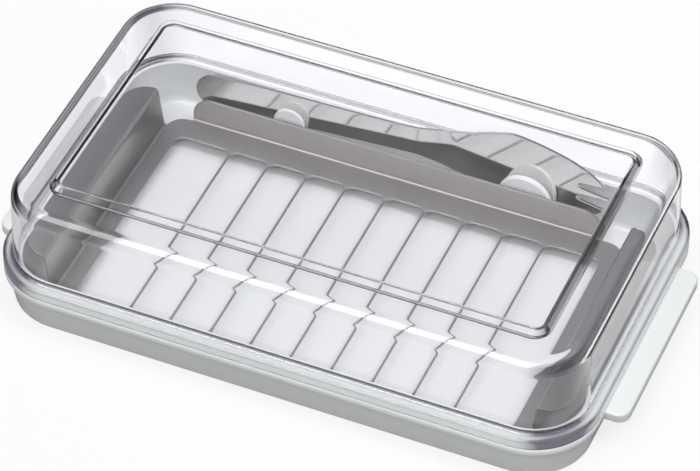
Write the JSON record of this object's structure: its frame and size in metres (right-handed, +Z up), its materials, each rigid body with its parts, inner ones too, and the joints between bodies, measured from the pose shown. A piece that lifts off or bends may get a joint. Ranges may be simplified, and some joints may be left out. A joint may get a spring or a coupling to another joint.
{
  "type": "butter dish with cutter",
  "caption": "Rectangular butter dish: white tray with end tabs, clear lift-off lid, folded steel cutting grid inside, and a forked butter knife on edge at the back.",
  "frame": {"origin": "centre of the tray's footprint, on the table", "axes": "+Z up; +X along the length, towards the knife's forked tip; +Y towards the back, where the knife stands"},
  "size_m": [0.196, 0.1104, 0.0445],
  "materials": {
    "tray_plastic": "white, lightly polished",
    "lid_plastic": "clear, polished, faint lilac tint",
    "cutter_steel": "satin stainless steel",
    "knife_steel": "mirror-polished stainless steel"
  },
  "bodies": {
    "tray_body": {"tray": "tray_plastic"},
    "lid_body": {"lid": "lid_plastic"},
    "cutter_body": {"cutter": "cutter_steel"},
    "knife_body": {"butter_knife": "knife_steel"}
  },
  "joints": [
    {"name": "lid_lift", "type": "slide", "parent": "tray_body", "child": "lid_body", "axis": [0, 0, 1], "range_m": [0, 0.12]},
    {"name": "cutter_lift", "type": "slide", "parent": "tray_body", "child": "cutter_body", "axis": [0, 0, 1], "range_m": [0, 0.03]},
    {"name": "knife_lift", "type": "slide", "parent": "tray_body", "child": "knife_body", "axis": [0, 0, 1], "range_m": [0, 0.06]}
  ],
  "couplings": [
    {"joint": "cutter_lift", "follows": "lid_lift", "ratio": 0.25},
    {"joint": "knife_lift", "follows": "lid_lift", "ratio": 0.5}
  ]
}
